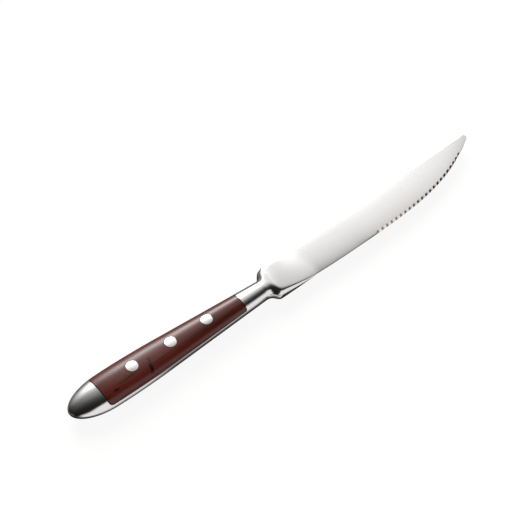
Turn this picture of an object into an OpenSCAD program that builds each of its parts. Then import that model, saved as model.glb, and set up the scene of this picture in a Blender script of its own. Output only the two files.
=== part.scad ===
// Steak knife: one forging (blade, collar, tang and butt cap), two wooden
// scales and three two-part rivets. The knife lies on its side: +X runs from
// butt to tip, +Y to the spine, +Z out of the right-hand face.

/* [Overall] */
// Length from butt to tip
knife_len = 220; // [205:1:240]
// Length from butt to the crest of the collar
handle_len = 101.7; // [96:0.1:108]

/* [Handle] */
// Width of the handle where it is widest
handle_w = 16.2; // [14.4:0.1:18]
// Thickness of the handle where it is widest
handle_t = 10.6; // [9.6:0.1:12]
// Distance from butt to where the handle starts to taper
taper_x = 22; // [18:1:30]
// Length over which the taper sets in
taper_bend = 24; // [10:1:40]
// Width of the neck where it is narrowest
neck_w = 9; // [8.4:0.1:10]
// Thickness of the neck
neck_t = 8; // [7.6:0.1:8.6]
// Length over which the butt is rounded, seen on its flat side
butt_round_w = 18; // [14:1:22]
// Length over which the butt is rounded, seen on its edge
butt_round_t = 26; // [18:1:30]
// Squareness of the handle's section, where 2 is an ellipse
handle_square = 2.4; // [2:0.1:3]
// Squareness of the neck's section
neck_square = 2.1; // [2:0.1:3]
// Distance of the handle's centre line below the datum at the butt
butt_drop = 1.55; // [1:0.05:2.5]
// Distance of the handle's centre line below the datum at the collar
collar_drop = 5.05; // [4.8:0.05:5.4]

/* [Scales and tang] */
// Length of the steel cap at the butt
cap_len = 14.2; // [13:0.1:16]
// Length of the wooden scales
scale_len = 71; // [69:0.1:73]
// Thickness of the tang between the scales
tang_t = 2.7; // [2:0.1:3.2]
// Radius between tang and cap
cap_fillet = 2; // [1:0.1:3]
// Radius between tang and neck
neck_fillet = 0.8; // [0.5:0.1:1.5]

/* [Collar] */
// Thickness of the collar's crest
collar_t = 8.2; // [7.8:0.1:9.4]
// Thickness of the heel's underside at the collar
heel_t = 7.4; // [7:0.1:8]
// Squareness of the collar's section
collar_square = 7; // [5:0.5:9]
// Length of the flare on the spine side
spine_flare = 3.4; // [3:0.1:4]
// Length of the level land behind the crest on the spine side
collar_land = 1.2; // [1:0.1:1.6]
// Length of the flare on the edge side
edge_flare = 5.7; // [5.6:0.1:8]
// Length of the thick heel ahead of the crest
heel_len = 18.5; // [16:0.5:20]

/* [Blade] */
// Height of the spine above the datum
spine_y = 2.5; // [2.2:0.1:3.2]
// Height of the spine above the datum at the tip
tip_spine_y = 2; // [1.6:0.1:2.4]
// Where the spine starts to drop, from the butt
spine_bend_x = 165; // [150:1:180]
// Depth of the edge below the datum where it is deepest
edge_y = 13.75; // [13:0.05:14.5]
// Distance from butt to where the edge is deepest
belly_x = 150; // [144:1:153]
// Depth of the edge at the collar
heel_y = 11.65; // [11.2:0.05:12.2]
// Power of the edge curve towards the tip
belly_power = 3.15; // [2.8:0.05:3.5]
// Power of the edge curve towards the heel
heel_power = 3; // [2.5:0.1:3.5]
// Thickness of the spine at the collar
spine_t = 2.5; // [2:0.1:3]
// Thickness of the spine at the tip
tip_t = 1.4; // [1.3:0.1:1.8]
// Thickness of the edge where it is deepest
edge_t = 0.3; // [0.26:0.02:0.5]
// Radius of the tip
tip_r = 1.2; // [1:0.1:1.5]

/* [Serration] */
// Distance from butt to the first tooth
teeth_x = 153.6; // [150:0.1:160]
// Number of hollows between the teeth
hollows = 22; // [1:1:22]
// Pitch of the teeth along the edge
tooth_pitch = 2.7; // [2:0.1:2.7]
// Depth of a hollow
tooth_depth = 0.45; // [0.3:0.05:0.6]
// Radius of a hollow's cutter
hollow_r = 2; // [1.7:0.1:2.4]
// Lean of the cutter from upright, so that hollows are ground from one side
hollow_lean = 50; // [30:1:60]

/* [Rivets] */
// Distance from butt to the first rivet
rivet_x = 31; // [29:0.5:34]
// Distance between the first and second rivets
rivet_pitch_1 = 19; // [17:0.1:20]
// Distance between the second and third rivets
rivet_pitch_2 = 18.2; // [16:0.1:18.6]
// Height of the rivets above the handle's centre line
rivet_rise = 0.3; // [-0.5:0.1:0.8]
// Diameter of a rivet's head
head_d = 5.2; // [4.6:0.1:6]
// Height of a head from its seat to the wood's crown
head_t = 1.7; // [1.4:0.1:2]
// Height of a head's dome
dome_h = 0.3; // [0.15:0.05:0.4]
// How far a dome stands out of the wood's crown
head_proud = 0.1; // [0:0.05:0.2]
// Diameter of the hollow half's shank
tube_d = 3.4; // [3:0.1:3.8]
// Diameter of the solid half's pin
pin_d = 2.2; // [1.8:0.1:2.4]

/* [Fits] */
// Clearance round a head in its seat
head_gap = 0.05; // [0.02:0.01:0.1]
// Clearance round a shank in its hole
shank_gap = 0.1; // [0.05:0.01:0.2]
// Clearance round a pin in its shank
pin_gap = 0.04; // [0.02:0.01:0.08]
// Gap between a pin or shank and the end of its hole
end_gap = 0.4; // [0.2:0.05:0.6]

/* [Hidden] */

// Facets of round surfaces, and points round a section
$fn = 96;
section_points = 40;
// Rings along each stretch of the handle
butt_rings = 9;
grip_rings = 14;
flare_rings = 12;
heel_rings = 9;
// Steps along each curved stretch of the blade's outline
edge_steps = 30;
tip_steps = 8;
// Overrun of cutters past what they cut
overrun = 1;
// Depth of the blade's root in the collar, and of the heel's front in the blade
root_depth = 1.2;
sink = 0.06;
// Angle below level at which the tip's arc meets the edge
tip_angle = 60;
// Squareness of the section at the heel's front
heel_square = 24;

neck_seam_x = cap_len + scale_len;
flare_x = handle_len - edge_flare;
blade_len = knife_len - handle_len;

// A blend from 0 to 1 that starts and ends level
function ease(t) = t <= 0 ? 0 : t >= 1 ? 1 : (1 - cos(180 * t)) / 2;
function mix(a, b, t) = a + (b - a) * t;
function half_power(v, power) = sign(v) * pow(abs(v), 2 / power);

// The handle between butt and neck: the taper sets in on a parabola and runs straight
function bent(run) = run < 0 ? 0 : run < taper_bend ? run * run / 2 / taper_bend : run - taper_bend / 2;
function taper(x) = bent(min(x, flare_x) - taper_x) / bent(flare_x - taper_x);
function butt_end(x, reach) = x >= reach ? 1 : sqrt(1 - pow(1 - x / reach, 2));
function centre_y(x) = -mix(butt_drop, collar_drop, x / handle_len);
function grip_half_w(x) = mix(handle_w, neck_w, taper(x)) / 2 * butt_end(x, butt_round_w);
function grip_half_t(x) = mix(handle_t, neck_t, taper(x)) / 2 * butt_end(x, butt_round_t);

// The blade's outline, and the tip's arc
tip_centre = [knife_len - tip_r, tip_spine_y - tip_r];
tip_join = tip_centre + tip_r * [cos(tip_angle), -sin(tip_angle)];
function spine_at(x) =
    mix(spine_y, tip_spine_y, ease((x - spine_bend_x) / (tip_centre.x - spine_bend_x)));
function edge_at(x) =
    x > belly_x
    ? mix(-edge_y, tip_join.y, pow((x - belly_x) / (tip_join.x - belly_x), belly_power))
    : mix(-edge_y, -heel_y, pow((belly_x - x) / (belly_x - handle_len), heel_power));
function edge_slope(x) =
    (tip_join.y + edge_y) * belly_power / (tip_join.x - belly_x)
    * pow(max(0, x - belly_x) / (tip_join.x - belly_x), belly_power - 1);

// The flat faces of the blade: half thickness falls to the edge and to the tip
face_fall_x = (spine_t - tip_t) / 2 / blade_len;
face_rise_y = ((spine_t - edge_t) / 2 - face_fall_x * (belly_x - handle_len)) / (spine_y + edge_y);
function face_half(x, y) = edge_t / 2 + face_rise_y * (y + edge_y) - face_fall_x * (x - belly_x);

// Each ring is [x, spine side, edge side, half at spine side, half at edge side, squareness]
function grip_ring(x) =
    let (half_t = grip_half_t(x))
    [x, centre_y(x) + grip_half_w(x), centre_y(x) - grip_half_w(x), half_t, half_t,
     mix(handle_square, neck_square, taper(x))];
function flare_ring(x) =
    let (on_neck = grip_ring(x),
         out = ease((x - handle_len + collar_land + spine_flare) / spine_flare),
         down = pow((x - flare_x) / edge_flare, 2),
         half_t = mix(on_neck[3], collar_t / 2, down))
    [x, mix(on_neck[1], spine_y, out), mix(on_neck[2], -heel_y, down),
     half_t, mix(on_neck[4], heel_t / 2, down),
     mix(neck_square, collar_square, pow(down, 2))];
function heel_ring(x) =
    let (t = (x - handle_len) / heel_len,
         lip = mix(sink, -sink, pow(t, 4)))
    [x, spine_at(x) + lip, edge_at(x) - lip,
     mix(face_half(x, spine_at(x)) - sink, collar_t / 2, pow(1 - t, 2)),
     mix(heel_t / 2, face_half(x, edge_at(x)) - sink / 2, t),
     mix(collar_square, heel_square, sqrt(t))];

rings = concat(
    [for (i = [1 : butt_rings]) grip_ring(butt_round_w * (1 - cos(90 * i / butt_rings)))],
    [for (i = [1 : grip_rings]) grip_ring(mix(butt_round_w, flare_x, i / grip_rings))],
    [for (i = [1 : flare_rings]) flare_ring(mix(flare_x, handle_len, i / flare_rings))],
    [for (i = [1 : heel_rings]) heel_ring(mix(handle_len, handle_len + heel_len, i / heel_rings))]);

function ring_points(ring) =
    let (mid = (ring[1] + ring[2]) / 2,
         half = (ring[1] - ring[2]) / 2)
    [for (i = [0 : section_points - 1])
        let (angle = 360 * i / section_points,
             across = half_power(cos(angle), ring[5]),
             half_t = mix(ring[4], ring[3], (across + 1) / 2))
        [ring[0], mid + half * across, half_t * half_power(sin(angle), ring[5])]];

// Rivets: places, the wood's crown there, and the dome's sphere
rivet_places = [rivet_x, rivet_x + rivet_pitch_1, rivet_x + rivet_pitch_1 + rivet_pitch_2];
dome_r = (pow(head_d / 2, 2) + pow(dome_h, 2)) / (2 * dome_h);
hole_d = tube_d + 2 * shank_gap;
function crown(x) = grip_half_t(x);
function seat_z(x) = crown(x) - head_t;

// The frame's origin is below the middle of the whole knife
rest_z = max(concat([for (ring = rings) ring[3]], [for (x = rivet_places) crown(x) + head_proud]));
spine_side = max([for (ring = rings) ring[1]]);
origin = [knife_len / 2, (spine_side - edge_y) / 2, -rest_z];

module place() {
    translate(-origin) children();
}

// One closed skin from the butt to the front of the heel
module forged_form() {
    count = len(rings);
    last = (count - 1) * section_points;
    points = concat([for (ring = rings) each ring_points(ring)], [[0, centre_y(0), 0]]);
    skin = [for (i = [0 : count - 2], j = [0 : section_points - 1])
        let (a = i * section_points + j,
             b = i * section_points + (j + 1) % section_points)
        each [[a, b + section_points, b], [a, a + section_points, b + section_points]]];
    butt = [for (j = [0 : section_points - 1])
        [count * section_points, j, (j + 1) % section_points]];
    front = [for (j = [1 : section_points - 2]) [last, last + j + 1, last + j]];
    polyhedron(points = points, faces = concat(skin, butt, front), convexity = 4);
}

module blade_outline() {
    root_x = handle_len - root_depth;
    spine = [for (i = [0 : edge_steps])
        let (x = i == 0 ? root_x : mix(handle_len, tip_centre.x, i / edge_steps))
        [x, spine_at(x) - (i == 0 ? root_depth : 0)]];
    tip = [for (i = [1 : tip_steps])
        let (angle = mix(90, -tip_angle, i / tip_steps))
        tip_centre + tip_r * [cos(angle), sin(angle)]];
    edge = [for (i = [1 : 2 * edge_steps])
        let (x = mix(tip_join.x, handle_len, i / (2 * edge_steps)))
        [x, edge_at(x)]];
    polygon(concat(spine, tip, edge, [[root_x, root_depth - heel_y]]));
}

// Everything above one flat face of the blade
module face_cutter() {
    lean_y = atan(face_fall_x);
    lean_x = atan(face_rise_y * cos(lean_y));
    translate([belly_x, -edge_y, edge_t / 2])
        rotate([lean_x, lean_y, 0])
            translate([-knife_len, -knife_len, 0])
                cube([2 * knife_len, 2 * knife_len, handle_t]);
}

// One tilted round cutter for each hollow, set out along the edge
module hollow_cutters() {
    starts = [for (i = 0, x = teeth_x; i < hollows;
        i = i + 1, x = x + tooth_pitch / sqrt(1 + pow(edge_slope(x), 2))) x];
    for (start = starts) {
        slope = edge_slope(start);
        x = start + tooth_pitch / 2 / sqrt(1 + pow(slope, 2));
        translate([x, edge_at(x), 0])
            rotate([0, 0, atan(edge_slope(x))])
                rotate([-hollow_lean, 0, 0])
                    translate([0, tooth_depth * cos(hollow_lean) - hollow_r, -handle_t])
                        cylinder(r = hollow_r, h = 2 * handle_t);
    }
}

module blade() {
    difference() {
        translate([0, 0, -spine_t])
            linear_extrude(height = 2 * spine_t) blade_outline();
        face_cutter();
        mirror([0, 0, 1]) face_cutter();
        hollow_cutters();
    }
}

// The room of one scale, seen from the edge side: flat on the tang, with
// rounded corners against the cap and the neck
module scale_room() {
    top = handle_t;
    translate([0, handle_w, 0])
        rotate([90, 0, 0])
            linear_extrude(height = 2 * handle_w + edge_y)
                union() {
                    translate([cap_len + cap_fillet, tang_t / 2])
                        square([scale_len - cap_fillet - neck_fillet, top]);
                    translate([cap_len, tang_t / 2 + cap_fillet])
                        square([scale_len / 2, top - cap_fillet]);
                    translate([neck_seam_x - scale_len / 2, tang_t / 2 + neck_fillet])
                        square([scale_len / 2, top - neck_fillet]);
                    translate([cap_len + cap_fillet, tang_t / 2 + cap_fillet])
                        circle(r = cap_fillet);
                    translate([neck_seam_x - neck_fillet, tang_t / 2 + neck_fillet])
                        circle(r = neck_fillet);
                }
}

module at_rivet(x) {
    translate([x, centre_y(x) + rivet_rise, 0]) children();
}

module forged_knife() {
    color("lightgray")
        difference() {
            union() {
                forged_form();
                blade();
            }
            scale_room();
            mirror([0, 0, 1]) scale_room();
            for (x = rivet_places)
                at_rivet(x)
                    cylinder(d = hole_d, h = 2 * handle_t, center = true);
        }
}

module right_scale() {
    color([0.33, 0.13, 0.1])
        difference() {
            intersection() {
                forged_form();
                scale_room();
            }
            for (x = rivet_places)
                at_rivet(x) {
                    cylinder(d = hole_d, h = handle_t);
                    translate([0, 0, seat_z(x)])
                        cylinder(d = head_d + 2 * head_gap, h = handle_t);
                }
        }
}

module left_scale() {
    mirror([0, 0, 1]) right_scale();
}

// A head stands on its seat and is rounded by the dome's sphere
module rivet_head(x) {
    top = crown(x) + head_proud;
    intersection() {
        translate([0, 0, seat_z(x)])
            cylinder(d = head_d, h = handle_t);
        translate([0, 0, top - dome_r])
            sphere(r = dome_r);
    }
}

// The solid half enters from the right-hand side
module rivet_pin(x) {
    reach = seat_z(x) - end_gap;
    color("gainsboro")
        at_rivet(x)
            union() {
                rivet_head(x);
                translate([0, 0, end_gap - reach])
                    cylinder(d = pin_d, h = 2 * seat_z(x) - end_gap);
            }
}

// The hollow half enters from the left-hand side and takes the pin
module rivet_tube(x) {
    reach = seat_z(x) - end_gap;
    color("gainsboro")
        at_rivet(x)
            difference() {
                union() {
                    mirror([0, 0, 1]) rivet_head(x);
                    translate([0, 0, -seat_z(x) - overrun / 2])
                        cylinder(d = tube_d, h = seat_z(x) + reach + overrun / 2);
                }
                translate([0, 0, -reach])
                    cylinder(d = pin_d + 2 * pin_gap, h = 2 * handle_t);
            }
}

place() forged_knife();
place() right_scale();
place() left_scale();
place() rivet_pin(rivet_places[0]);  // butt_rivet_pin
place() rivet_tube(rivet_places[0]);  // butt_rivet_tube
place() rivet_pin(rivet_places[1]);  // middle_rivet_pin
place() rivet_tube(rivet_places[1]);  // middle_rivet_tube
place() rivet_pin(rivet_places[2]);  // neck_rivet_pin
place() rivet_tube(rivet_places[2]);  // neck_rivet_tube
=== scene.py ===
import math

import bmesh
import bpy
from mathutils import Matrix, Vector


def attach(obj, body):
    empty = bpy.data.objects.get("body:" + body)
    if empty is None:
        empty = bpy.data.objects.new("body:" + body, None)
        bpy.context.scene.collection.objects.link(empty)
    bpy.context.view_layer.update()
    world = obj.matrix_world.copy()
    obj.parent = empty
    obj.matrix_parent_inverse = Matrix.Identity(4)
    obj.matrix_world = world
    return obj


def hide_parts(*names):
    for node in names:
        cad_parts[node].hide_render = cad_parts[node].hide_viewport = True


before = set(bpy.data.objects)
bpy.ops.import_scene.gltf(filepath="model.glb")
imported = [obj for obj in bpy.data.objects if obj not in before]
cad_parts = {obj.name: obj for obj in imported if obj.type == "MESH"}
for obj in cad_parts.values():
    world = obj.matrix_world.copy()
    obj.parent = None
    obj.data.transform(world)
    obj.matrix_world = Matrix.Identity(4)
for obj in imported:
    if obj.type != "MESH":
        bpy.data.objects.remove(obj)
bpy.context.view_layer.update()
mm = 0.001

# ---- Camera, table and light -------------------------------------------------------------
# A pale, plain table under a white studio tent. The camera looks down at the knife from its
# edge side, with a long lens.
aim = Vector((-3.78, 14.27, 5.36)) * mm
azimuth, elevation, distance = math.radians(-39.83), math.radians(54.5), 700 * mm
back = Vector((math.sin(azimuth) * math.cos(elevation),
               -math.cos(azimuth) * math.cos(elevation), math.sin(elevation)))
camera = bpy.data.objects.new("camera", bpy.data.cameras.new("camera"))
bpy.context.scene.collection.objects.link(camera)
camera.data.lens = 116.3
camera.data.sensor_width = 36
camera.data.clip_start = 0.01
camera.location = aim + back * distance
camera.rotation_euler = (-back).to_track_quat("-Z", "Y").to_euler()
bpy.context.scene.camera = camera
bpy.context.scene.view_settings.view_transform = "Standard"

bpy.ops.object.select_all(action="DESELECT")
bpy.ops.mesh.primitive_plane_add(size=6)
table = bpy.context.object
table.name = "table"

paper = bpy.data.materials.new("white table")
paper.use_nodes = True
nodes, links = paper.node_tree.nodes, paper.node_tree.links
nodes.clear()


def give(socket, value):
    """Set a socket to a plain value, or link it to the output of another node."""
    if isinstance(value, (int, float, tuple)):
        socket.default_value = value
    else:
        links.new(value, socket)


def math_node(operation, *values):
    """One step of arithmetic on numbers and node outputs."""
    node = nodes.new("ShaderNodeMath")
    node.operation = operation
    for socket, value in zip(node.inputs, values):
        give(socket, value)
    return node.outputs[0]


def product(first, *others):
    for other in others:
        first = math_node("MULTIPLY", first, other)
    return first


def largest(first, *others):
    for other in others:
        first = math_node("MAXIMUM", first, other)
    return first


def ramp(value, start, end, low=0, high=1):
    """Goes smoothly from low to high while the value goes from start to end."""
    node = nodes.new("ShaderNodeMapRange")
    node.interpolation_type = "SMOOTHSTEP"
    for socket, number in zip(node.inputs, (value, start, end, low, high)):
        give(socket, number)
    return node.outputs["Result"]


def in_camera():
    """One for what the camera itself sees, and zero for what lights or mirrors."""
    path = nodes.new("ShaderNodeLightPath")
    return largest(path.outputs["Is Camera Ray"], path.outputs["Is Transmission Ray"])


def light_shader(kind, colour, strength=1):
    node = nodes.new(kind)
    give(node.inputs["Color"], colour)
    give(node.inputs["Strength"], strength)
    return node.outputs[0]


def mix_shaders(share, first, second):
    """The first shader, with a share of the second one in its place."""
    node = nodes.new("ShaderNodeMixShader")
    for socket, value in zip(node.inputs, (share, first, second)):
        give(socket, value)
    return node.outputs[0]


# The camera sees the table as lit paper that is nearly plain white, with a faint shadow on it.
paper_white, paper_glow = 0.86, 1.06
lit = nodes.new("ShaderNodeBsdfDiffuse")
lit.inputs["Color"].default_value = (0.86, 0.81, 0.79, 1)
glow = light_shader("ShaderNodeEmission", (1, 1, 1, 1), paper_glow)
plain = mix_shaders(product(in_camera(), paper_white), lit.outputs[0], glow)

# In the polished steel's reflections the table glows with painted light and shade, set by place:
# a painted shadow close to the knife, painted dark behind it in place of a dark studio, and
# painted white in front. The white begins further out past the heel and closer in by the cap. It
# ends at a slant beyond the butt, and a painted shade makes it nearly dark again far out by the
# handle.
darkest, whitest, far_dark = 0.035, 0.88, 0.93
spot = nodes.new("ShaderNodeSeparateXYZ")
links.new(nodes.new("ShaderNodeTexCoord").outputs["Object"], spot.inputs[0])
table_x, table_y = spot.outputs["X"], spot.outputs["Y"]
out_from_heel = math_node("MULTIPLY_ADD", ramp(table_x, -0.014, -0.004), 0.0105, table_y)
by_cap = product(ramp(table_y, -0.0062, -0.0125), ramp(table_x, -0.055, -0.08))
slant = math_node("MULTIPLY_ADD", table_y, -0.82, table_x)
far_out = product(ramp(table_y, -0.022, -0.034), ramp(table_x, -0.092, -0.076),
                  ramp(table_x, -0.012, -0.026))
# Painted white in front of the knife, cut back by a painted shadow close to it and far out.
ahead = product(largest(ramp(out_from_heel, -0.0065, -0.024), by_cap),
                ramp(slant, -0.119, -0.099), math_node("MULTIPLY_ADD", far_out, -far_dark, 1))
# Painted dark behind the knife.
close_behind = product(ramp(table_y, 0, 0.004), ramp(table_x, -0.1, 0.02, 0.02, 0.09))
behind = math_node("ADD", close_behind, ramp(table_y, 0.03, 0.09, 0, 0.4))
painted_table_level = math_node("ADD", math_node("MULTIPLY_ADD", ahead, whitest, darkest), behind)
# In reflections the table glows with this painted light and shade instead of its lit colour.
painted_table_reflection = light_shader("ShaderNodeEmission", (1, 0.96, 0.94, 1), painted_table_level)
in_mirror = nodes.new("ShaderNodeLightPath").outputs["Is Glossy Ray"]
out = nodes.new("ShaderNodeOutputMaterial")
links.new(mix_shaders(in_mirror, plain, painted_table_reflection), out.inputs["Surface"])
table.data.materials.append(paper)

# The studio: a large soft box behind the knife on the right with its spill, a second one above
# it and a small one on its right; a round white screen in front, with a low strip and a sill
# under it; white walls round the rest of the table; and dark between them.
world = bpy.data.worlds.new("studio")
bpy.context.scene.world = world
world.use_nodes = True
nodes, links = world.node_tree.nodes, world.node_tree.links
nodes.clear()
heading = nodes.new("ShaderNodeTexCoord").outputs["Generated"]


def along(direction):
    """How far a look into the studio goes along a direction."""
    node = nodes.new("ShaderNodeVectorMath")
    node.operation = "DOT_PRODUCT"
    links.new(heading, node.inputs[0])
    node.inputs[1].default_value = direction
    return node.outputs["Value"]


def soft_light(side, rise, wide, high, lean, strength):
    """A soft round light: where it stands, its spread and its lean, in degrees."""
    a, b, c = (math.radians(angle) for angle in (side, rise, lean))
    over = Vector((math.cos(a), -math.sin(a) * math.cos(b), -math.sin(a) * math.sin(b)))
    upward = Vector((0, -math.sin(b), math.cos(b)))
    toward = (math.sin(a), math.cos(a) * math.cos(b), math.cos(a) * math.sin(b))
    across = math_node("DIVIDE", along(over * math.cos(c) + upward * math.sin(c)),
                       math.sin(math.radians(wide)))
    up = math_node("DIVIDE", along(upward * math.cos(c) - over * math.sin(c)),
                   math.sin(math.radians(high)))
    off = math_node("ADD", product(across, across), product(up, up))
    fade = math_node("EXPONENT", product(off, -0.5))
    facing = math_node("GREATER_THAN", along(toward), 0)
    return product(fade, facing, strength)


dark_level, front_level, right_level, left_level = 0.009, 0.9, 0.7, 0.1
to_right, to_left, to_front = along((1, 0, 0)), along((-1, 0, 0)), along((0, -1, 0))
to_sky, to_floor = along((0, 0, 1)), along((0, 0, -1))
level = dark_level
for lamp in (soft_light(26, 35, 8.5, 12, 60, 7), soft_light(15, 33, 18, 17, 0, 1),
             soft_light(27.7, 70.5, 11, 14, -16, 0.65), soft_light(50, 58, 12, 13, 0, 0.42)):
    level = math_node("ADD", level, lamp)
arch = math_node("MULTIPLY_ADD", product(to_right, to_right), -0.25,
                 along((0.01, -0.9135, 0.4067)))
screen = ramp(arch, math.cos(math.radians(35)), math.cos(math.radians(13)))
low_strip = product(ramp(to_floor, -0.62, -0.34), ramp(to_front, 0.1, 0.5),
                    ramp(to_right, -0.75, -0.35))
sill = product(ramp(to_floor, -0.32, -0.12), ramp(to_right, -0.82, -0.64),
               ramp(to_front, 0.3, 0.6))
front = product(largest(screen, low_strip, sill), ramp(to_right, 0.68, 0.42))
level = math_node("ADD", level, product(front, front_level))
by_table = product(ramp(to_sky, 0.34, 0.24), ramp(to_front, 0.56, 0.66))
right_wall = product(ramp(to_right, 0.5, 0.68), largest(ramp(to_front, 0.3, 0.05), by_table))
left_wall = product(ramp(to_left, 0.88, 0.95), ramp(to_sky, 0.5, 0.36),
                    ramp(to_front, 0.22, 0.08))
level = largest(level, product(right_wall, right_level), product(left_wall, left_level))
tent = light_shader("ShaderNodeBackground", (1, 0.985, 0.975, 1), level)
white = light_shader("ShaderNodeBackground", (1, 1, 1, 1))
out = nodes.new("ShaderNodeOutputWorld")
links.new(mix_shaders(in_camera(), tent, white), out.inputs["Surface"])

# A soft lamp in line with the soft box brings level surfaces to a plain brightness.
bpy.ops.object.light_add(type="SUN")
fill = bpy.context.object
fill.name = "fill lamp"
fill.data.energy = 2.1
fill.data.angle = math.radians(40)
fill.rotation_euler = Vector((0.36, 0.73, 0.58)).to_track_quat("Z", "Y").to_euler()
fill.visible_glossy = False

# ---- Forged knife ------------------------------------------------------------------------
# Blade, heel, collar, neck, full tang and butt cap are one drop forging of stainless steel. It is
# ground with a slightly convex face, satin finished lengthwise, and polished at cap and neck;
# the teeth are ground in last, from the right-hand side.
knife_len, handle_len = 220, 101.7
cap_len, scale_len, tang_t = 14.2, 71, 2.7
handle_w, handle_t, neck_w, neck_t = 16.2, 10.6, 9, 8
taper_x, taper_bend, butt_round_w, butt_round_t = 22, 24, 18, 26
butt_drop, collar_drop, flare_x = 1.55, 5.05, 96
collar_t, heel_t, heel_len, heel_bulge = 8.2, 6.6, 18.5, 1.4
spine_flare, collar_land, collar_lean, lean_len = 3.4, 1.2, 1.5, 3.5
crest_soft, crest_len = 0.7, 5
butt_square, neck_square, collar_square, blade_square = 2.4, 2.1, 7, 30
spine_y, tip_spine_y, spine_bend_x = 2.5, 2, 165
edge_y, belly_x, heel_y, belly_power, heel_power = 13.75, 150, 11.35, 3.15, 2.4
edge_t, grind_t, grind_rise, flat_rise, flat_fade, tip_thinning = 0.4, 1.06, 5, 12, 0.003, 0.42
tip_r, tip_turn = 1.2, math.radians(60)
tip_c = (knife_len - tip_r, tip_spine_y - tip_r)
tip_join = (tip_c[0] + tip_r * math.cos(tip_turn), tip_c[1] - tip_r * math.sin(tip_turn))
# The stock for the teeth comes in from one place over a length, and goes from another.
teeth_stock, edge_stock, face_stock = 1.1, (153.5, 0.9, 203.5, 4), (142, 13, 198, 14)
rivet_x, rivet_rise, shank_room = (31, 50, 68.2), 0.3, 1.8
room_w, cap_corner_r, neck_corner_r, reach = 28, 2, 0.8, 8
origin = Vector((110, -3.90973, -5.36462))


def mix(a, b, t):
    return a + (b - a) * t


def ease(t):
    """A soft step from 0 to 1 while t goes from 0 to 1."""
    return 0 if t <= 0 else 1 if t >= 1 else (1 - math.cos(math.pi * t)) / 2


def spine_at(x):
    if x > tip_c[0]:
        return tip_c[1] + math.sqrt(max(0, tip_r ** 2 - (x - tip_c[0]) ** 2))
    return mix(spine_y, tip_spine_y, ease((x - spine_bend_x) / (tip_c[0] - spine_bend_x)))


def edge_at(x):
    """The finished edge line: hollow at the heel, straight, a rising belly, and the tip."""
    if x > tip_join[0]:
        return tip_c[1] - math.sqrt(max(0, tip_r ** 2 - (x - tip_c[0]) ** 2))
    if x > belly_x:
        return mix(-edge_y, tip_join[1], ((x - belly_x) / (tip_join[0] - belly_x)) ** belly_power)
    return mix(-edge_y, -heel_y, ((belly_x - x) / (belly_x - handle_len)) ** heel_power)


def stock_at(x, stock):
    """The stock left below the edge line until the teeth are ground."""
    start, run_in, end, run_out = stock
    return teeth_stock * ease((x - start) / run_in) * (1 - ease((x - end) / run_out))


def ground_half(x, y):
    """Half the blade's thickness: a convex grind that fades into the flat by the spine."""
    rise = max(0, y - edge_at(x) + stock_at(x, face_stock))
    thick = (grind_t * (1 - math.exp(-rise / grind_rise))
             - flat_fade * max(0, rise - flat_rise) ** 2)
    return edge_t / 2 + thick * (1 - tip_thinning * max(0, x - handle_len - heel_len) / 100)


def grip(x):
    """Middle, half width, half thickness and squareness of the handle's section."""
    run = min(x, flare_x) - taper_x
    if run < 0:
        narrowed = 0
    elif run < taper_bend:
        narrowed = run * run / 2 / taper_bend
    else:
        narrowed = run - taper_bend / 2
    t = narrowed / (flare_x - taper_x - taper_bend / 2)
    round_w, round_t = (1 if x >= length else math.sqrt(1 - (1 - x / length) ** 2)
                        for length in (butt_round_w, butt_round_t))
    return (-mix(butt_drop, collar_drop, x / handle_len), mix(handle_w, neck_w, t) / 2 * round_w,
            mix(handle_t, neck_t, t) / 2 * round_t, mix(butt_square, neck_square, t))


def skin_point(x, p, q):
    """A point of the skin: p and q run round a square, p from the edge (-1) to the spine (1)."""
    bulge = 0
    if x <= handle_len:
        middle, wide, thick, square = grip(x)
        top, low = middle + wide, middle - wide
        down = max(0, (x - flare_x) / (handle_len - flare_x)) ** 2
        if x > flare_x:
            top = mix(top, spine_y,
                      ease((x - handle_len + collar_land + spine_flare) / spine_flare))
            low = mix(low, -heel_y, down)
            square = mix(neck_square, collar_square, down ** 2)
            bulge = heel_bulge * down ** 1.5
    else:
        top, low = spine_at(x), edge_at(x) - stock_at(x, edge_stock)
        t = min(1, (x - handle_len) / heel_len)
        square = mix(collar_square, blade_square, math.sqrt(t))
        bulge = heel_bulge * (1 - t) ** 0.7
    reach_out = (abs(p) ** square + abs(q) ** square) ** (-1 / square)
    p, q = p * reach_out, q * reach_out
    side = (p + 1) / 2
    y = mix(low, top, side)
    collar = mix(collar_t, heel_t, (1 - side) ** 3) / 2
    if x <= handle_len:
        half = mix(thick, collar, down)
    else:
        half = mix(ground_half(x, y), collar, mix((1 - t) ** 1.15, 1 - ease(t ** 0.8), side))
    under = max(0, -p) ** 4 * max(0, 1 - q * q)
    lean = collar_lean * under * math.exp(-((x - handle_len) / lean_len) ** 2)
    return Vector((x - lean, y - bulge * under, half * q))


def spaced(start, end, count, bend=1):
    """Places from start up to end without end itself; a bend over 1 sets them closer at start."""
    return [mix(start, end, (i / count) ** bend) for i in range(count)]


# A round bar is set out with one ring for each station, then forged to its sections. The points
# of a ring stand closest at the four corners of the section, and the stations at the butt, the
# collar, the tip and where the stock for the teeth comes in.
to_corner = [0, 5, 10, 15, 20, 25, 30, 35, 38, 40.2, 41.2, 42.3, 43.4, 44.3]
lap = [-45] + [-angle for angle in reversed(to_corner[1:])] + to_corner
around = [90 * side + angle for side in range(4) for angle in lap]
tip_x, tip_run = 218, 1.97
stations = [butt_round_w * (1 - math.cos(math.radians(3 + 87 * i / 22))) for i in range(22)]
stations += spaced(butt_round_w, flare_x, 36)
stations += [mix(handle_len, flare_x, (1 - i / 30) ** 1.3) for i in range(30)]
stations += spaced(handle_len, handle_len + heel_len, 24, 1.5)
stations += spaced(handle_len + heel_len, edge_stock[0], 15)
stations += [edge_stock[0], 153.9, 154.4] + spaced(155, tip_x, 27)
stations += [tip_x + tip_run * math.sin(math.radians(90 * i / 12)) for i in range(13)]

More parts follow.
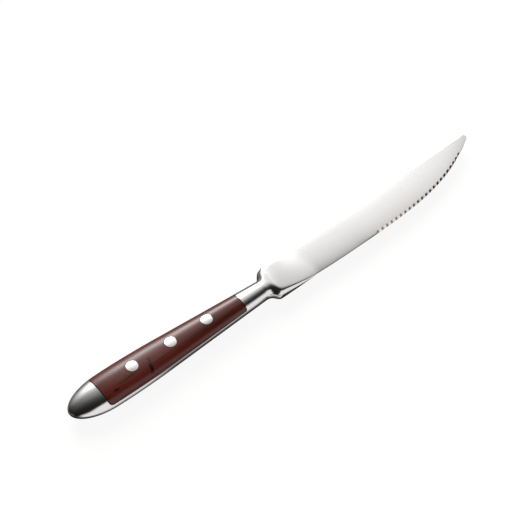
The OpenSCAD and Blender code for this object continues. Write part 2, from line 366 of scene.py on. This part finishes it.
bpy.ops.object.select_all(action="DESELECT")
bpy.ops.mesh.primitive_cylinder_add(vertices=len(around), radius=1, depth=1, end_fill_type="NGON")
forging = bpy.context.object
forging.name = "forging"
# Twelve cuts, twice over, make the 170 rings.
for cuts in (12, 12):
    bpy.ops.object.mode_set(mode="EDIT")
    bpy.ops.mesh.select_all(action="DESELECT")
    bar = bmesh.from_edit_mesh(forging.data)
    for edge in bar.edges:
        edge.select = abs(edge.verts[0].co.z - edge.verts[1].co.z) > 1e-4
    bmesh.update_edit_mesh(forging.data)
    bpy.ops.mesh.subdivide(number_cuts=cuts)
    bpy.ops.object.mode_set(mode="OBJECT")
last = len(stations) - 1
for point in forging.data.vertices:
    x = stations[round((point.co.z + 0.5) * last)]
    turned = math.degrees(math.atan2(point.co.y, point.co.x)) % 360 / 360
    angle = math.radians(around[round(turned * len(around)) % len(around)])
    p, q = math.cos(angle), math.sin(angle)
    long = max(abs(p), abs(q))
    p, q = p / long, q / long
    # The collar's crest is polished over a little way, so it is set as a mean over that way.
    soft = crest_soft * max(0, 1 - abs(x - handle_len) / crest_len)
    places = [skin_point(x + soft * k, p, q) for k in (-1, -0.6, -0.2, 0.2, 0.6, 1)]
    place = sum(places, Vector()) / len(places)
    point.co = (place - origin) * mm


def use(obj):
    """Select one object alone and make it the active one."""
    bpy.ops.object.select_all(action="DESELECT")
    obj.select_set(True)
    bpy.context.view_layer.objects.active = obj


def turn_faces_out(obj):
    use(obj)
    bpy.ops.object.mode_set(mode="EDIT")
    bpy.ops.mesh.select_all(action="SELECT")
    bpy.ops.mesh.normals_make_consistent(inside=False)
    bpy.ops.object.mode_set(mode="OBJECT")


def smooth(obj, degrees):
    use(obj)
    bpy.ops.object.shade_smooth_by_angle(angle=math.radians(degrees))


def finish_faces(obj, finishes, slot):
    """Give an object its finishes, and all its faces one of them."""
    for finish in finishes:
        obj.data.materials.append(finish)
    for face in obj.data.polygons:
        face.material_index = slot


def cut_with(obj, tool, operation, slot=None):
    """Cut or join with a tool, whose faces may leave one of the object's finishes behind."""
    if slot is not None:
        finish_faces(tool, obj.data.materials, slot)
    use(obj)
    boolean = obj.modifiers.new("cut", "BOOLEAN")
    boolean.object = tool
    boolean.operation = operation
    boolean.solver = "EXACT"
    bpy.ops.object.modifier_apply(modifier="cut")
    bpy.data.objects.remove(tool)


def room(gap):
    """The room of the right-hand scale: flat on the tang, rounded at cap and neck."""
    start, end, low = cap_len + gap, cap_len + scale_len - gap, tang_t / 2 + gap
    bpy.ops.object.select_all(action="DESELECT")
    bpy.ops.mesh.primitive_cube_add(size=1)
    block = bpy.context.object
    for point in block.data.vertices:
        point.co = (Vector((end if point.co.x > 0 else start, room_w * point.co.y,
                            reach if point.co.z > 0 else low)) - origin) * mm
    for at, radius in ((start, cap_corner_r), (end, neck_corner_r)):
        bpy.ops.object.mode_set(mode="EDIT")
        bpy.ops.mesh.select_all(action="DESELECT")
        mesh = bmesh.from_edit_mesh(block.data)
        for edge in mesh.edges:
            if all(abs(v.co.x / mm + origin.x - at) < 0.01 and
                   v.co.z / mm + origin.z < low + 0.01 for v in edge.verts):
                edge.select = True
        bmesh.update_edit_mesh(block.data)
        bpy.ops.mesh.bevel(offset=radius * mm, segments=12)
        bpy.ops.object.mode_set(mode="OBJECT")
    return block


def mirrored(obj):
    """A mirror image across the blade's plane, with its faces turned out again."""
    use(obj)
    bpy.ops.object.duplicate()
    twin = bpy.context.object
    middle = -origin.z * mm
    for point in twin.data.vertices:
        point.co.z = 2 * middle - point.co.z
    turn_faces_out(twin)
    return twin


def rivet_axis(x, z):
    """A rivet stands a little to the spine side of the handle's middle line."""
    return Vector((x, grip(x)[0] + rivet_rise, z))


def rod(radius, start, end, x, vertices=64):
    """A round bar across the handle at a rivet's place, from one height to another."""
    bpy.ops.object.select_all(action="DESELECT")
    bpy.ops.mesh.primitive_cylinder_add(vertices=vertices, radius=radius * mm,
                                        depth=(end - start) * mm)
    bar = bpy.context.object
    middle = rivet_axis(x, (start + end) / 2)
    bar.data.transform(Matrix.Translation((middle - origin) * mm))
    return bar


turn_faces_out(forging)
form = forging.data.copy()

# Fine polishing lines and the faint waviness of hand-ground steel, for the forging and rivets.
lines = bpy.data.node_groups.new("polishing lines", "ShaderNodeTree")
for name, kind in (("Place", "NodeSocketVector"), ("Line Place", "NodeSocketVector"),
                   ("Dull", "NodeSocketFloat"), ("Bright", "NodeSocketFloat")):
    lines.interface.new_socket(name, in_out="INPUT", socket_type=kind)
for name in ("Roughness", "Tone", "Lines", "Waves"):
    lines.interface.new_socket(name, in_out="OUTPUT", socket_type="NodeSocketFloat")
given = lines.nodes.new("NodeGroupInput")
made = lines.nodes.new("NodeGroupOutput")
fine = lines.nodes.new("ShaderNodeTexNoise")
fine.inputs["Scale"].default_value = 1
fine.inputs["Detail"].default_value = 3
fine.inputs["Roughness"].default_value = 0.6
lines.links.new(given.outputs["Line Place"], fine.inputs["Vector"])
broad = lines.nodes.new("ShaderNodeTexNoise")
broad.inputs["Scale"].default_value = 85
broad.inputs["Detail"].default_value = 2
lines.links.new(given.outputs["Place"], broad.inputs["Vector"])
mixed = lines.nodes.new("ShaderNodeMix")
mixed.inputs["Factor"].default_value = 0.45
lines.links.new(fine.outputs["Fac"], mixed.inputs["A"])
lines.links.new(broad.outputs["Fac"], mixed.inputs["B"])
spread = lines.nodes.new("ShaderNodeMapRange")
spread.inputs["From Min"].default_value = 0.3
spread.inputs["From Max"].default_value = 0.7
lines.links.new(mixed.outputs["Result"], spread.inputs["Value"])
lines.links.new(given.outputs["Dull"], spread.inputs["To Min"])
lines.links.new(given.outputs["Bright"], spread.inputs["To Max"])
lines.links.new(spread.outputs["Result"], made.inputs["Roughness"])
lines.links.new(mixed.outputs["Result"], made.inputs["Tone"])
lines.links.new(fine.outputs["Fac"], made.inputs["Lines"])
lines.links.new(broad.outputs["Fac"], made.inputs["Waves"])


def polished(name, base, edge, grain, dull, bright, line_depth, wave_depth):
    """Steel with polishing lines; grain is how many lines a metre lie along x, y and z."""
    darker, lighter = 0.96, 1.03
    metal = bpy.data.materials.new(name)
    metal.use_nodes = True
    nodes, links = metal.node_tree.nodes, metal.node_tree.links
    skin = nodes["Principled BSDF"]
    skin.inputs["Metallic"].default_value = 1
    skin.inputs["Specular Tint"].default_value = edge
    place = nodes.new("ShaderNodeTexCoord")
    stretch = nodes.new("ShaderNodeMapping")
    stretch.inputs["Scale"].default_value = grain
    links.new(place.outputs["Object"], stretch.inputs["Vector"])
    work = nodes.new("ShaderNodeGroup")
    work.node_tree = lines
    links.new(place.outputs["Object"], work.inputs["Place"])
    links.new(stretch.outputs["Vector"], work.inputs["Line Place"])
    work.inputs["Dull"].default_value = dull
    work.inputs["Bright"].default_value = bright
    links.new(work.outputs["Roughness"], skin.inputs["Roughness"])
    tone = nodes.new("ShaderNodeMix")
    tone.data_type = "RGBA"
    links.new(work.outputs["Tone"], tone.inputs["Factor"])
    tone.inputs["A"].default_value = [darker * c for c in base] + [1]
    tone.inputs["B"].default_value = [min(1, lighter * c) for c in base] + [1]
    links.new(tone.outputs["Result"], skin.inputs["Base Color"])
    waves = nodes.new("ShaderNodeBump")
    waves.inputs["Distance"].default_value = wave_depth * mm
    links.new(work.outputs["Waves"], waves.inputs["Height"])
    scratches = nodes.new("ShaderNodeBump")
    scratches.inputs["Distance"].default_value = line_depth * mm
    links.new(work.outputs["Lines"], scratches.inputs["Height"])
    links.new(waves.outputs["Normal"], scratches.inputs["Normal"])
    links.new(scratches.outputs["Normal"], skin.inputs["Normal"])
    return metal


steel = polished("satin forged steel", (0.86, 0.855, 0.85), (0.42, 0.42, 0.43, 1),
                 (180, 5200, 5200), 0.2, 0.13, 0.0025, 0.02)
ground = polished("ground tooth steel", (0.87, 0.81, 0.76), (0.42, 0.42, 0.43, 1),
                  (6000, 900, 900), 0.12, 0.08, 0.002, 0.005)


def blend_colour(share, first, second):
    """The first colour, with a share of the second one over it."""
    node = nodes.new("ShaderNodeMix")
    node.data_type = "RGBA"
    for socket, value in (("Factor", share), ("A", first), ("B", second)):
        give(node.inputs[socket], value)
    return node.outputs["Result"]


glue = bpy.data.materials.new("dark glue line")
glue.use_nodes = True
nodes, links = glue.node_tree.nodes, glue.node_tree.links
skin = nodes["Principled BSDF"]
skin.inputs["Roughness"].default_value = 0.6
skin.inputs["Specular IOR Level"].default_value = 0.1
place = nodes.new("ShaderNodeTexCoord")
specks = nodes.new("ShaderNodeTexNoise")
specks.inputs["Scale"].default_value = 1500
links.new(place.outputs["Object"], specks.inputs["Vector"])
shade = blend_colour(specks.outputs["Fac"], (0.006, 0.004, 0.003, 1), (0.02, 0.012, 0.009, 1))
links.new(shade, skin.inputs["Base Color"])

# The forging's faces are satin, the seats of scales and rivets bear glue, and the tooth hollows
# are bare from the wheel.
satin_slot, glue_slot, ground_slot = 0, 1, 2
finish_faces(forging, (steel, glue, ground), satin_slot)
right_room = room(0)
left_room = mirrored(right_room)
cut_with(forging, right_room, "DIFFERENCE", glue_slot)
cut_with(forging, left_room, "DIFFERENCE", glue_slot)
for x in rivet_x:
    cut_with(forging, rod(shank_room, -reach, reach, x), "DIFFERENCE", glue_slot)

# The teeth are hollows of a small grinding wheel that leans over from the right-hand side.
tooth_x, tooth_count, tooth_pitch, tooth_depth = 153.6, 22, 2.7, 0.5
wheel_r, wheel_w, wheel_lean = 3.6, 24, math.radians(47)
wheel_hub = Vector((0, tooth_depth * math.cos(wheel_lean) - wheel_r, 0))


def edge_slope(x):
    return ((tip_join[1] + edge_y) * belly_power / (tip_join[0] - belly_x)
            * (max(0, x - belly_x) / (tip_join[0] - belly_x)) ** (belly_power - 1))


start = tooth_x
for tooth in range(tooth_count):
    slope = edge_slope(start)
    x = start + tooth_pitch / 2 / math.sqrt(1 + slope ** 2)
    start += tooth_pitch / math.sqrt(1 + slope ** 2)
    place = (Matrix.Translation((Vector((x, edge_at(x), 0)) - origin) * mm)
             @ Matrix.Rotation(math.atan(edge_slope(x)), 4, "Z")
             @ Matrix.Rotation(-wheel_lean, 4, "X")
             @ Matrix.Translation(wheel_hub * mm))
    bpy.ops.object.select_all(action="DESELECT")
    bpy.ops.mesh.primitive_cylinder_add(vertices=96, radius=wheel_r * mm, depth=wheel_w * mm)
    wheel = bpy.context.object
    wheel.data.transform(place)
    cut_with(forging, wheel, "DIFFERENCE", ground_slot)
# The points left between the hollows are stoned down to the edge line.
for point in forging.data.vertices:
    x, y = point.co.x / mm + origin.x, point.co.y / mm + origin.y
    if tooth_x - 1 < x < start + 1:
        point.co.y = (max(y, edge_at(x)) - origin.y) * mm
smooth(forging, 28)
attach(forging, "root")
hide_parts("forged_knife")

# ---- Handle scales -----------------------------------------------------------------------
# Two slabs of dark reddish hardwood, glued and riveted to the tang, ground flush with cap, neck
# and tang edge, and polished. A thin dark glue line shows round them and round each rivet.
wood = bpy.data.materials.new("polished red-brown wood")
wood.use_nodes = True
nodes, links = wood.node_tree.nodes, wood.node_tree.links
skin = nodes["Principled BSDF"]
skin.inputs["Coat Roughness"].default_value = 0.11
skin.inputs["Specular IOR Level"].default_value = 0.15
place = nodes.new("ShaderNodeTexCoord")


def grain_noise(scale, detail, warp=0):
    """Noise stretched along the handle, with scale in waves a metre along x, y and z."""
    stretch = nodes.new("ShaderNodeMapping")
    stretch.inputs["Scale"].default_value = scale
    links.new(place.outputs["Object"], stretch.inputs["Vector"])
    noise = nodes.new("ShaderNodeTexNoise")
    noise.inputs["Scale"].default_value = 1
    noise.inputs["Detail"].default_value = detail
    noise.inputs["Distortion"].default_value = warp
    links.new(stretch.outputs["Vector"], noise.inputs["Vector"])
    return noise.outputs["Fac"]


figure = ramp(grain_noise((24, 130, 130), 5, 1.5), 0.34, 0.68)
fibre = ramp(grain_noise((55, 1100, 1100), 5), 0.3, 0.7)
pores = ramp(grain_noise((120, 2300, 2300), 2), 0.64, 0.72)
streak = ramp(grain_noise((20, 320, 320), 2, 0.6), 0.68, 0.78)
figured = blend_colour(figure, (0.06, 0.0085, 0.0038, 1), (0.13, 0.023, 0.012, 1))
fibres = blend_colour(fibre, (0.05, 0.0055, 0.0022, 1), (0.145, 0.024, 0.012, 1))
colour = blend_colour(0.42, figured, fibres)
colour = blend_colour(streak, colour, (0.016, 0.0035, 0.002, 1))
colour = blend_colour(pores, colour, (0.014, 0.003, 0.0018, 1))
# Towards the edge side the wood is painted a lighter red, a painted reflection of the pale table
# it faces there, and its polish is thinner; a dark vein and a fleck lie in the right-hand scale.
spot = nodes.new("ShaderNodeSeparateXYZ")
links.new(place.outputs["Object"], spot.inputs[0])
over, up = spot.outputs["X"], spot.outputs["Y"]
painted_edge_band = ramp(math_node("MULTIPLY_ADD", over, 0.0344, up), -0.0046, -0.0072)
# Painted reflection: a lighter red over the band on the edge side.
colour = blend_colour(painted_edge_band, colour, (0.14, 0.019, 0.011, 1))
right_side = ramp(spot.outputs["Z"], 0.0054, 0.0064)
waver = math_node("MULTIPLY_ADD", grain_noise((420, 420, 420), 3), 0.0018, -0.0009)


def dark_mark(x, y, dx, dy, long, wide, depth):
    """A dark mark in the wood: its middle, which way it lies and its half sizes, in mm."""
    far_x, far_y = math_node("SUBTRACT", over, x * mm), math_node("SUBTRACT", up, y * mm)
    length = math_node("ADD", product(far_x, dx), product(far_y, dy))
    side = math_node("ADD", product(far_x, dy), product(far_y, -dx))
    side = math_node("ADD", side, waver)
    return product(ramp(math_node("ABSOLUTE", length), long * mm, 0.45 * long * mm),
                   ramp(math_node("ABSOLUTE", side), wide * mm, 0.3 * wide * mm),
                   right_side, depth)


vein = largest(dark_mark(-73.2, -3.7, 0.33, 0.94, 2.7, 1.15, 0.97),
               dark_mark(-72.1, -0.9, 0.3, 0.95, 2.7, 0.7, 0.8))
fleck = largest(dark_mark(-90, -2.9, 0.99, -0.14, 1.6, 0.75, 0.9),
                dark_mark(-95, -3.4, 0.98, 0.2, 2.2, 0.5, 0.5))
colour = blend_colour(largest(vein, fleck), colour, (0.008, 0.003, 0.002, 1))
links.new(colour, skin.inputs["Base Color"])
links.new(math_node("MULTIPLY_ADD", painted_edge_band, -0.4, 1), skin.inputs["Coat Weight"])
dull = nodes.new("ShaderNodeMapRange")
dull.inputs["To Min"].default_value = 0.36
dull.inputs["To Max"].default_value = 0.28
links.new(fibre, dull.inputs["Value"])
links.new(dull.outputs["Result"], skin.inputs["Roughness"])
relief = nodes.new("ShaderNodeBump")
relief.inputs["Distance"].default_value = 0.004 * mm
links.new(fibre, relief.inputs["Height"])
pits = nodes.new("ShaderNodeBump")
pits.inputs["Distance"].default_value = 0.01 * mm
pits.invert = True
links.new(pores, pits.inputs["Height"])
links.new(relief.outputs["Normal"], pits.inputs["Normal"])
links.new(pits.outputs["Normal"], skin.inputs["Normal"])

# The dark core lies 0.3 mm below the skin and reaches the steel; the wood stands on it and stops
# a glue line short of cap, neck, tang edge and rivets. Past the neck the core isn't sunk, which
# leaves the thin blade whole until the room trims it off.
glue_line, glue_deep, core_gap = 0.34, 0.3, 0.05
sunk_to, sunk_fade = cap_len + scale_len + 2, 4
head_deep, head_seat_r = 1.7, 2.64
wood_slot = 0
core = bpy.data.objects.new("core", form.copy())
bpy.context.scene.collection.objects.link(core)
inward = [point.normal.copy() for point in core.data.vertices]
for point, normal in zip(core.data.vertices, inward):
    by_neck = (point.co.x / mm + origin.x - sunk_to) / sunk_fade
    point.co -= normal * glue_deep * mm * (1 - ease(by_neck))
right_wood = bpy.data.objects.new("right_wood", form.copy())
bpy.context.scene.collection.objects.link(right_wood)
for piece, gap, slot in ((core, core_gap, glue_slot), (right_wood, glue_line, wood_slot)):
    finish_faces(piece, (wood, glue), slot)
    cut_with(piece, room(gap), "INTERSECT", slot)
    for x in rivet_x:
        seat = grip(x)[2] - head_deep
        cut_with(piece, rod(head_seat_r + gap / 3, seat, reach, x, 96), "DIFFERENCE", slot)
        cut_with(piece, rod(shank_room, 0, reach, x), "DIFFERENCE", slot)
cut_with(right_wood, core, "UNION")
smooth(right_wood, 35)
left_wood = mirrored(right_wood)
left_wood.name = "left_wood"
for scale, node in ((right_wood, "right_scale"), (left_wood, "left_scale")):
    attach(scale, "root")
    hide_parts(node)

# ---- Rivets ------------------------------------------------------------------------------
# Three two-part rivets of steel: a solid half from the right is pressed into a hollow half from
# the left. Their heads are ground nearly flush with the wood, and polished.
rivet_steel = polished("polished rivet steel", (0.88, 0.875, 0.87), (0.5, 0.5, 0.51, 1),
                       (2600, 2600, 900), 0.22, 0.17, 0.0012, 0.004)
head_r, pin_r, tube_r, bore_r, end_gap = 2.6, 1.1, 1.7, 1.14, 0.4
head_rise, head_dome, rim_drop, rim_from = 0.06, 0.05, 0.04, 0.9
head_rings = (0.08, 0.1, 0.12, 0.16, 0.25, 0.35, 0.45, 0.5)


def head_top(x, away_x, away_y):
    """Height of the head over the blade's plane: the handle's skin with a slight dome."""
    _, wide, thick, square = grip(x + away_x)
    across = min(1, abs(away_y + rivet_rise) / wide)
    skin_z = thick * (1 - across ** square) ** (1 / square)
    r = math.hypot(away_x, away_y) / head_r
    rim = max(0, (r - rim_from) / (1 - rim_from))
    return skin_z + head_rise - head_dome * r * r - rim_drop * rim ** 2


def rivet(name, x, shank_r, shank_end):
    """A head with a shank, for the right-hand side."""
    seat = grip(x)[2] - head_deep
    stud = rod(head_r, seat, seat + head_deep, x, 72)
    centre = rivet_axis(x, 0)
    bpy.ops.object.mode_set(mode="EDIT")
    for way, rings in ((1, head_rings), (-1, (head_r - shank_r,))):
        bpy.ops.mesh.select_all(action="DESELECT")
        mesh = bmesh.from_edit_mesh(stud.data)
        mesh.normal_update()
        for face in mesh.faces:
            face.select = face.normal.z * way > 0.9
        bmesh.update_edit_mesh(stud.data)
        for ring in rings:
            bpy.ops.mesh.inset(thickness=ring * mm)
        if way < 0:
            down = (0, 0, (shank_end - seat) * mm)
            bpy.ops.mesh.extrude_region_move(TRANSFORM_OT_translate={"value": down})
    bpy.ops.object.mode_set(mode="OBJECT")
    crown = (seat + head_deep - origin.z) * mm
    for point in stud.data.vertices:
        if abs(point.co.z - crown) < 1e-6:
            place = Vector(point.co) / mm + origin - centre
            point.co.z = (head_top(x, place.x, place.y) - origin.z) * mm
    stud.name = name
    return stud


for place_name, x in zip(("butt", "middle", "neck"), rivet_x):
    seat = grip(x)[2] - head_deep
    pin = rivet(place_name + "_pin", x, pin_r, 2 * end_gap - seat)
    pin.data.materials.append(rivet_steel)
    blank = rivet(place_name + "_blank", x, tube_r, end_gap - seat)
    blank.data.materials.append(rivet_steel)
    cut_with(blank, rod(bore_r, end_gap - seat - 1, seat - end_gap, x, 48), "DIFFERENCE", 0)
    tube = mirrored(blank)
    tube.name = place_name + "_tube"
    bpy.data.objects.remove(blank)
    for part, node in ((pin, place_name + "_rivet_pin"), (tube, place_name + "_rivet_tube")):
        smooth(part, 40)
        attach(part, "root")
        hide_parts(node)
